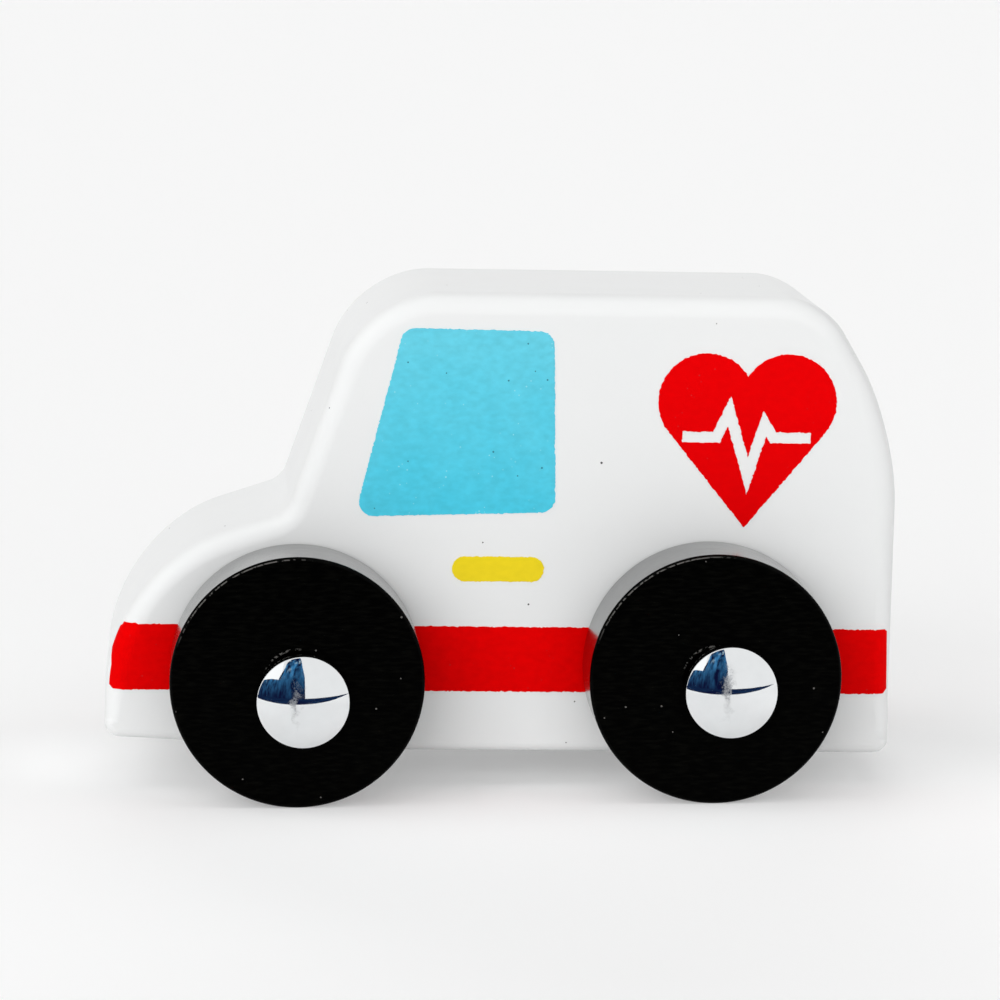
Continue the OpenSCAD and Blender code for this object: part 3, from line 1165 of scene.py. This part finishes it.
    def finished(self, film: bpy.types.Object) -> bpy.types.Object:
        """Gives a film its thickness and shading.

        Args:
            film: The film, as a bare skin.

        Returns:
            The same film.
        """
        modified(film, "SOLIDIFY", thickness=self.film, offset=1.0)
        smoothed(film, self.sharp_from)
        return film


@dataclass
class Wheel:
    """A turned wooden disc with a loose bore."""

    sides: int = 192
    edge_radius: float = 0.4 * MM
    back_edge_radius: float = 0.4 * MM
    bore_radius: float = 3.2 * MM
    bore_edge_radius: float = 0.2 * MM
    edge_segments: int = 6
    on_ring_within: float = 10 * SAME
    sharp_from: float = math.radians(50.0)
    bore_zone_share: float = 1.2
    flat_zone_facing: float = 0.97
    tread_zone_facing: float = 0.05

    def build(self, node: str) -> bpy.types.Object:
        """Models the wheel that stands on the left side.

        Args:
            node: Construction node whose place and size it takes.

        Returns:
            The wheel.
        """
        centre, size = middle(node), extent(node)
        radius, half = size.x / 2, size.y / 2
        wheel = primitive(
            "turned_wheel", bpy.ops.mesh.primitive_cylinder_add, vertices=self.sides, radius=radius,
            depth=size.y, location=centre, rotation=SIDEWAYS,
        )

        def out(point: Vector) -> float:
            """Distance of a point from the wheel's axis."""
            return Vector((point.x - centre.x, point.z - centre.z)).length

        def ring(edge: Any, r: float, y: float) -> bool:
            """Tells whether an edge runs round the wheel at a radius and a place along its axis."""
            return all(
                abs(out(v.co) - r) < self.on_ring_within and abs(v.co.y - y) < SAME for v in edge.verts
            )

        face, back = centre.y - half, centre.y + half
        with Bench(wheel) as bench:
            for side in Side:
                bench.pick(Part.FACE, lambda f: f.normal.y * side.value > FACING)
                bpy.ops.mesh.inset(thickness=radius - self.bore_radius)
                bpy.ops.mesh.delete(type="FACE")
            bench.pick(Part.EDGE, lambda e: e.is_boundary)
            bpy.ops.mesh.bridge_edge_loops()
            bench.face_out()
            inner = min(out(v.co) for v in bench.form.verts)
            for r, y, rounding in (
                (radius, face, self.edge_radius),
                (radius, back, self.back_edge_radius),
                (inner, face, self.bore_edge_radius),
                (inner, back, self.bore_edge_radius),
            ):
                bench.pick(Part.EDGE, lambda e: ring(e, r, y))
                bench.round_edges(rounding, self.edge_segments)
        smoothed(wheel, self.sharp_from)
        disc_mapped(wheel, centre, radius)
        for polygon in wheel.data.polygons:
            in_bore = out(polygon.center) < self.bore_zone_share * self.bore_radius
            polygon.material_index = self.zone(abs(polygon.normal.y), in_bore).value
        return wheel

    def zone(self, outwards: float, in_bore: bool) -> Zone:
        """Tells where a face lies. The bore is finished as the flats are.

        Args:
            outwards: Part of the face's normal along the axis.
            in_bore: Whether the face lies in the bore or at its edge.

        Returns:
            Its zone.
        """
        if in_bore or outwards > self.flat_zone_facing:
            return Zone.FLAT
        return Zone.TREAD if outwards < self.tread_zone_facing else Zone.EDGE


@dataclass
class Cap:
    """A domed chrome cap pressed from sheet, with a turned-in lip."""

    dome_radius: float = 7.4 * MM
    rim_radius: float = 0.6 * MM
    wall: float = 0.4 * MM
    mouth_radius: float = 2.7 * MM
    sides: int = 128
    rings: int = 160
    rim_segments: int = 6
    sharp_from: float = math.radians(60.0)

    def build(self, node: str) -> bpy.types.Object:
        """Models the cap that stands on the left side.

        Args:
            node: Construction node whose place and size it takes.

        Returns:
            The cap.
        """
        centre, size = middle(node), extent(node)
        radius = size.x / 2
        crown, foot = centre.y - size.y / 2, centre.y + size.y / 2
        ball = Vector((centre.x, crown + self.dome_radius, centre.z))
        rim = ball.y - math.sqrt(self.dome_radius**2 - radius**2)
        lean = math.pi / 2 - math.asin(radius / self.dome_radius)
        cap = primitive(
            "chrome_cap", bpy.ops.mesh.primitive_uv_sphere_add, segments=self.sides,
            ring_count=self.rings, radius=self.dome_radius, location=ball, rotation=SIDEWAYS,
        )
        with Bench(cap) as bench:
            bench.cut(rim * ACROSS, ACROSS, clear_outer=True)
            bench.pick(Part.EDGE, lambda e: e.is_boundary)
            bench.draw_out((foot - rim) * ACROSS)
            bench.pick(Part.EDGE, lambda e: all(abs(v.co.y - rim) < SAME for v in e.verts))
            bench.round_edges(self.rim_radius * math.tan(lean / 2), self.rim_segments)
            bench.pick(Part.EDGE, lambda e: e.is_boundary)
            bench.draw_out(Vector())
            narrow = self.mouth_radius / radius
            bench.squeeze(Vector((narrow, 1, narrow)), Vector((centre.x, foot, centre.z)))
            bench.face_out()
        modified(cap, "SOLIDIFY", thickness=self.wall, offset=-1.0, use_even_offset=True)
        smoothed(cap, self.sharp_from)
        disc_mapped(cap, centre, radius)
        return cap


@dataclass(frozen=True)
class RoomCloth:
    """Dark blue cloth whose folds lighten towards the top, and which shines by itself."""

    name: str = "room_cloth"
    own: Colour = (0.0, 0.0, 0.0)
    deep: Colour = (0.004, 0.006, 0.035)
    light: Colour = (0.05, 0.24, 0.5)
    pale: Colour = (0.45, 0.62, 0.72)
    folds: Clouds = Clouds(60 * MM, 6.0, (1.0, 1.0, 3.0))
    fold_levels: Range = (0.38, 0.66)
    lighter_heights: Range = (-60 * MM, 420 * MM)
    streaks: Clouds = Clouds(75 * MM, 6.0, (1.0, 1.0, 2.5))
    streak_levels: Range = (0.55, 0.68)
    pale_heights: Range = (250 * MM, 600 * MM)

    def material(self) -> bpy.types.Material:
        """Mixes the finish.

        Returns:
            The material.
        """
        nodes = Nodes(self.name)
        height = nodes.along("Z")
        folds = nodes.ramp(nodes.noise(self.folds), *self.fold_levels)
        lighter = nodes.math("MULTIPLY", folds, nodes.ramp(height, *self.lighter_heights))
        tone = nodes.blend(lighter, rgba(self.deep), rgba(self.light))
        streaks = nodes.ramp(nodes.noise(self.streaks), *self.streak_levels)
        paler = nodes.math("MULTIPLY", streaks, nodes.ramp(height, *self.pale_heights))
        nodes.glow(rgba(self.own), nodes.blend(paler, tone, rgba(self.pale)), 1.0)
        return nodes.material


@dataclass(frozen=True)
class RoomPane:
    """A bright pane of the room's window, which shines by itself."""

    name: str = "room_window"
    own: Colour = (0.0, 0.0, 0.0)
    light: Colour = (1.0, 1.0, 1.0)
    strength: float = 1.15

    def material(self) -> bpy.types.Material:
        """Mixes the finish.

        Returns:
            The material.
        """
        nodes = Nodes(self.name)
        nodes.glow(rgba(self.own), rgba(self.light), self.strength)
        return nodes.material


@dataclass
class Room:
    """The dim room in front of the set, which only metal and gloss mirror.

    Its places and sizes are in shares of its distance, apart from the desk's edge and rise.
    """

    distance: float = 450.0 * MM
    cloth_at: Triple = (-3.5, -1.0, 0.2)
    # Widths of cloth that follow to the right, each with the rise of its upper corner
    hem: tuple[Range, ...] = ((0.6, 0.2), (1.05, -0.15), (0.47, -0.13), (0.9, 0.0))
    # Lengths of cloth above the last width, each with how far its left and its right side come in
    fall: tuple[Triple, ...] = (
        (0.4, 0.12, 0.05),
        (0.55, 0.04, 0.05),
        (0.25, 0.16, 0.04),
        (0.1, 0.2, 0.05),
    )
    pane_size: float = 3.2
    pane_at: Triple = (-2.2, -1.02, 1.4)
    pane_slant: Triple = (-0.5, 0.0, -0.6)
    desk_size: float = 6.0
    desk_edge: tuple[Range, Range] = ((-155.0 * MM, -62.0 * MM), (122.0 * MM, -118.0 * MM))
    desk_rise: float = 0.2 * MM

    def build(self) -> None:
        """Hangs the drape and the window, and lays the desk top."""
        cloth = RoomCloth().material()
        self.mirrored_only(self.drape(), cloth)
        self.mirrored_only(self.window(), RoomPane().material())
        self.mirrored_only(self.desk(), cloth)

    def place(self, shares: Triple) -> Vector:
        """A place in the room, from its shares of the room's distance."""
        return Vector([share * self.distance for share in shares])

    def drape(self) -> bpy.types.Object:
        """Sews the drape: widths of cloth side by side, and a narrowing fall above the last.

        Returns:
            The drape.
        """
        d = self.distance
        start = self.place(self.cloth_at)
        drape = primitive(
            "room_drape", bpy.ops.mesh.primitive_plane_add, size=d, location=start, rotation=SIDEWAYS
        )
        right, top = start.x + d / 2, start.z + d / 2
        with Bench(drape) as bench:
            for along, rise in self.hem:
                bench.pick(Part.EDGE, lambda e: all(v.co.x > right - SAME for v in e.verts))
                bench.draw_out(along * d * AFT)
                right += along * d
                bench.pick(Part.VERT, lambda v: v.co.x > right - SAME and v.co.z > 0)
                bench.move(rise * d * UP)
                top += rise * d
            left = right - self.hem[-1][0] * d
            for rise, inwards, back in self.fall:
                bench.pick(
                    Part.EDGE,
                    lambda e: all(v.co.x > left - SAME and v.co.z > top - SAME for v in e.verts),
                )
                bench.draw_out(rise * d * UP)
                top += rise * d
                between = (left + right) / 2
                bench.pick(Part.VERT, lambda v: v.co.z > top - SAME and v.co.x < between)
                bench.move(inwards * d * AFT)
                bench.pick(Part.VERT, lambda v: v.co.z > top - SAME and v.co.x > between)
                bench.move(-back * d * AFT)
                left, right = left + inwards * d, right - back * d
        return drape

    def window(self) -> bpy.types.Object:
        """Cuts the window's pane, with its upper right corner drawn in.

        Returns:
            The pane.
        """
        centre = self.place(self.pane_at)
        pane = primitive(
            "room_window", bpy.ops.mesh.primitive_plane_add, size=self.pane_size * self.distance,
            location=centre, rotation=SIDEWAYS,
        )
        with Bench(pane) as bench:
            bench.pick(Part.VERT, lambda v: v.co.x > centre.x and v.co.z > centre.z)
            bench.move(self.place(self.pane_slant))
        return pane

    def desk(self) -> bpy.types.Object:
        """Saws the desk top along its edge, on the camera's side of the toy.

        Returns:
            The desk top.
        """
        start, end = (Vector((x, y, self.desk_rise)) for x, y in self.desk_edge)
        desk = primitive(
            "room_desk", bpy.ops.mesh.primitive_plane_add, size=self.desk_size * self.distance,
            location=self.desk_rise * UP,
        )
        with Bench(desk) as bench:
            bench.cut(start, (end - start).cross(UP).normalized(), clear_inner=True)
        return desk

    def mirrored_only(self, card: bpy.types.Object, finish: bpy.types.Material) -> None:
        """Leaves a card of the room to mirrored rays, so that it takes no light from the toy.

        Args:
            card: The card.
            finish: Its material.
        """
        card.data.materials.append(finish)
        card.visible_camera = False
        card.visible_diffuse = False
        card.visible_transmission = False
        card.visible_volume_scatter = False
        card.visible_shadow = False


@dataclass(frozen=True)
class Lamp:
    """A large soft lamp, far enough away to light the whole toy evenly."""

    name: str
    stands_at: Triple
    strength: float
    width: float = math.radians(50.0)

    def hang(self) -> None:
        """Hangs the lamp so that it shines from its direction."""
        bpy.ops.object.light_add(type="SUN")
        lamp = bpy.context.object
        lamp.name = self.name
        lamp.data.energy = self.strength
        lamp.data.angle = self.width
        lamp.visible_glossy = False
        lamp.rotation_mode = "QUATERNION"
        lamp.rotation_quaternion = Vector(self.stands_at).to_track_quat("Z", "Y")


@dataclass
class Stage:
    """Floor, lamps, dim room and camera of a small white set."""

    floor_size: float = 12.0
    backdrop: Colour = (0.922, 0.922, 0.922)
    paper: Colour = (0.985, 0.985, 0.985)
    glow_colour: Colour = (0.94, 0.94, 0.94)
    floor_glow: float = 0.3
    # The floor glows more towards the camera: painted light that lifts the toy's shadow on the near floor
    near_glow: float = 0.325
    near_floor: Range = (-10.0 * MM, -70.0 * MM)
    lamps: tuple[Lamp, ...] = (
        Lamp("left_light", (-0.688, -0.097, 0.719), 0.95),
        Lamp("key_light", (-0.554, -0.791, 0.259), 1.68),
        Lamp("front_light", (0.168, -0.951, 0.259), 1.05),
        Lamp("right_light", (0.900, -0.110, 0.423), 0.8),
        Lamp("back_light", (0.0, 0.985, 0.174), 2.0),
        Lamp("top_light", (0.0, -0.035, 0.999), 0.78, math.radians(60.0)),
    )
    eye: Triple = (-30.7 * MM, -420.0 * MM, 95.0 * MM)
    yaw: float = math.radians(4.28)
    dip: float = math.radians(9.16)
    roll: float = math.radians(0.39)
    focal_share: float = 4.155
    nearest_seen: float = 10.0 * MM

    def build(self) -> None:
        """Sets up floor, light, room and camera."""
        self.lay_floor()
        self.light()
        Room().build()
        self.look()
        bpy.context.scene.view_settings.view_transform = "Standard"

    def seen(self, tree: bpy.types.NodeTree) -> bpy.types.NodeSocket:
        """Adds a mask of the rays that show a surface: straight, mirrored or through glass.

        Args:
            tree: Node tree that gets the mask.

        Returns:
            1 for such rays and 0 for the rays that light something.
        """
        path = tree.nodes.new("ShaderNodeLightPath")
        mask = path.outputs["Is Camera Ray"]
        for ray in ("Is Glossy Ray", "Is Transmission Ray"):
            either = tree.nodes.new("ShaderNodeMath")
            either.operation = "MAXIMUM"
            tree.links.new(mask, either.inputs[0])
            tree.links.new(path.outputs[ray], either.inputs[1])
            mask = either.outputs[0]
        return mask

    def lay_floor(self) -> None:
        """Lays a wide plain floor under the wheels, which keeps the toy's shadow."""
        floor = primitive("floor", bpy.ops.mesh.primitive_plane_add, size=self.floor_size)
        nodes = Nodes("floor_paper")
        seen = self.seen(nodes.tree)
        dimmer = tuple(c * (1 - self.floor_glow) for c in self.paper)
        # Painted light: the glow grows towards the camera and lightens the toy's shadow in front of it
        near = nodes.ramp(nodes.along("Y"), *self.near_floor)
        glow = nodes.between(near, self.floor_glow, self.near_glow)
        nodes.set(Roughness=1.0)
        nodes.glow(
            nodes.blend(seen, rgba(self.paper), rgba(dimmer)),
            rgba(self.glow_colour),
            nodes.math("MULTIPLY", seen, glow),
        )
        floor.data.materials.append(nodes.material)

    def light(self) -> None:
        """Hangs the lamps, and a backdrop that is seen and gives no light."""
        world = bpy.data.worlds.new("studio")
        bpy.context.scene.world = world
        world.use_nodes = True
        tree = world.node_tree
        tree.nodes.clear()
        backdrop = tree.nodes.new("ShaderNodeBackground")
        backdrop.inputs["Color"].default_value = rgba(self.backdrop)
        tree.links.new(self.seen(tree), backdrop.inputs["Strength"])
        out = tree.nodes.new("ShaderNodeOutputWorld")
        tree.links.new(backdrop.outputs[0], out.inputs["Surface"])
        for lamp in self.lamps:
            lamp.hang()

    def look(self) -> None:
        """Sets the camera at the photograph's place and angle."""
        ahead = Vector((
            math.sin(self.yaw) * math.cos(self.dip),
            math.cos(self.yaw) * math.cos(self.dip),
            -math.sin(self.dip),
        ))
        level = Vector((math.cos(self.yaw), -math.sin(self.yaw), 0.0))
        upright = level.cross(ahead)
        right = math.cos(self.roll) * level + math.sin(self.roll) * upright
        up = math.cos(self.roll) * upright - math.sin(self.roll) * level
        bpy.ops.object.camera_add(location=self.eye)
        camera = bpy.context.object
        camera.name = "camera"
        camera.rotation_mode = "QUATERNION"
        camera.rotation_quaternion = Matrix((right, up, -ahead)).transposed().to_quaternion()
        camera.data.lens = self.focal_share * camera.data.sensor_width
        camera.data.clip_start = self.nearest_seen
        bpy.context.scene.camera = camera


class Ambulance:
    """The whole toy: every piece with its finish, on the body that carries it."""

    def __init__(self) -> None:
        """Mixes the finishes."""
        self.white = WhiteLacquer().material()
        self.black = {
            # The face and edge finishes carry a painted glint on the upper left of their rings
            Zone.FLAT: BlackLacquer(
                "black_lacquer_face", specular=0.012, roughness=(0.3, 0.42), flat_dust=True,
                flaking=Flaking(radius=0.268, half_width=0.014, rarity=0.5),
            ).material(),
            Zone.TREAD: BlackLacquer(
                "black_lacquer_tread", specular=0.5, roughness=(0.14, 0.3), coat=0.8
            ).material(),
            Zone.EDGE: BlackLacquer(
                "black_lacquer_edge", specular=0.03, roughness=(0.2, 0.3),
                flaking=Flaking(radius=0.982, half_width=0.006, rarity=0.44),
            ).material(),
        }
        self.chrome = Metal(
            "cap_chrome", (0.86, 0.88, 0.89), roughness=(0.02, 0.06), waves=Clouds(1.6 * MM),
            wave_depth=0.004 * MM, scuff=Scuff(),
        ).material()
        self.rod = Metal(
            "drawn_steel", (0.56, 0.56, 0.55), roughness=(0.2, 0.32),
            waves=Clouds(0.2 * MM, stretch=(1.0, 40.0, 1.0)), wave_depth=0.004 * MM,
        ).material()
        self.spring = Metal(
            "spring_steel", (0.3, 0.29, 0.28), roughness=(0.25, 0.4), waves=Clouds(0.4 * MM),
            wave_depth=0.006 * MM,
        ).material()
        self.inks = {
            "window": Ink(
                "blue_ink", upper=(0.122, 0.545, 0.675), lower=(0.064, 0.505, 0.665),
                pinhole=(0.26, 0.62, 0.72), levels=levels("left_window"), mottle=0.07, pinhole_share=0.1,
                speck_share=0.1,
            ).material(),
            # The stripe carries painted shade round both axles, behind the wheels
            "stripe": Ink(
                "red_ink_stripe", upper=(0.70, 0.0, 0.0004), lower=(0.67, 0.0, 0.0004),
                pinhole=(0.55, 0.02, 0.02), levels=levels("left_stripe"),
                rubbed=tuple(end.axle for end in End),
            ).material(),
            "heart": Ink(
                "red_ink_heart", upper=(0.715, 0.0, 0.001), lower=(0.66, 0.0, 0.001),
                pinhole=(0.6, 0.02, 0.02), levels=levels("left_heart"), mottle=0.03,
            ).material(),
            "door_handle": Ink(
                "yellow_ink", upper=(0.77, 0.60, 0.0165), lower=(0.753, 0.582, 0.0185),
                pinhole=(0.6, 0.45, 0.05), levels=levels("left_door_handle"), mottle=0.03,
            ).material(),
        }

    def hand_over(self, piece: bpy.types.Object, body: str, node: str, slot: str,
                  *finishes: bpy.types.Material) -> None:
        """Finishes a piece and sets it on its body.

        Args:
            piece: The piece.
            body: Body that it rides on.
            node: Construction node that it stands for.
            slot: Material slot of the record; not used.
            *finishes: Its materials.
        """
        places = [polygon.material_index for polygon in piece.data.polygons]
        piece.data.materials.clear()
        for finish in finishes:
            piece.data.materials.append(finish)
        piece.data.polygons.foreach_set("material_index", places)
        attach(piece, body)
        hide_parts(node)
        LOG.info("%s: %d faces, on %s", piece.name, len(piece.data.polygons), body)

    def build_body(self) -> None:
        """Makes the block and its prints."""
        block = Block()
        body = block.build()
        prints = Prints(block)
        films = {}
        for n, side in enumerate(Side):
            films[f"{side.word}_stripe"] = prints.stripe(body, side, prints.stripe_seed + n)
            seed = prints.flat_seed + prints.seeds_per_side * n
            for m, what in enumerate(("window", "heart", "door_handle")):
                films[f"{side.word}_{what}"] = prints.flat(what, side, seed + m)
        self.hand_over(body, "body", "body_block", "white_lacquered_wood", self.white)
        slots = {"window": "blue_ink", "stripe": "red_ink", "heart": "red_ink", "door_handle": "yellow_ink"}
        for side in Side:
            for what, slot in slots.items():
                node = f"{side.word}_{what}"
                self.hand_over(films[node], "body", node, slot, self.inks[what])

    def build_running_gear(self) -> None:
        """Makes the wheels and caps, and dresses the axles and push nuts."""
        wheel = Wheel().build("front_left_wheel")
        cap = Cap().build("front_left_cap")
        black = [self.black[zone] for zone in Zone]
        for end in End:
            for side in Side:
                corner = f"{end.value}_{side.word}"
                self.set_corner(wheel, "wheel", end, side, f"{corner}_wheel", "black_lacquered_wood", *black)
                self.set_corner(cap, "cap", end, side, f"{end.value}_axle_set", "cap_chrome", self.chrome)
                self.dress(f"{corner}_push_nut", self.spring)
            self.dress(end.axle, self.rod)
        for template in (wheel, cap):
            bpy.data.objects.remove(template)

    def set_corner(self, template: bpy.types.Object, what: str, end: End, side: Side, body: str, slot: str,
                   *finishes: bpy.types.Material) -> None:
        """Sets a copy of a piece that was made for the front left corner at any corner.

        Args:
            template: The piece at the front left corner.
            what: What it is called in the node names.
            end: End of the toy where the copy goes.
            side: Side of the toy where it goes. A copy on the right is turned round.
            body: Body that it rides on.
            slot: Material slot of the record.
            *finishes: Its materials.
        """
        corner = f"{end.value}_{side.word}"
        turn = Matrix.Rotation(math.pi if side is Side.RIGHT else 0.0, 4, "Z")
        home = Matrix.Translation(-middle(f"front_left_{what}"))
        move = Matrix.Translation(middle(f"{corner}_{what}")) @ turn @ home
        piece = copied(template, f"{corner}_{template.name}", move)
        self.hand_over(piece, body, f"{corner}_{what}", slot, *finishes)

    def dress(self, node: str, finish: bpy.types.Material) -> None:
        """Gives a construction node that is shown as it is its finish.

        Args:
            node: The construction node.
            finish: Its material.
        """
        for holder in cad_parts[node].material_slots:
            holder.material = finish
        LOG.info("%s: dressed as built", node)


def main() -> None:
    """Builds the toy and its studio, and logs each piece's face count."""
    logging.basicConfig(level=logging.INFO, format="%(name)s %(message)s")
    ambulance = Ambulance()
    ambulance.build_body()
    ambulance.build_running_gear()
    Stage().build()


if __name__ == "__main__":
    main()
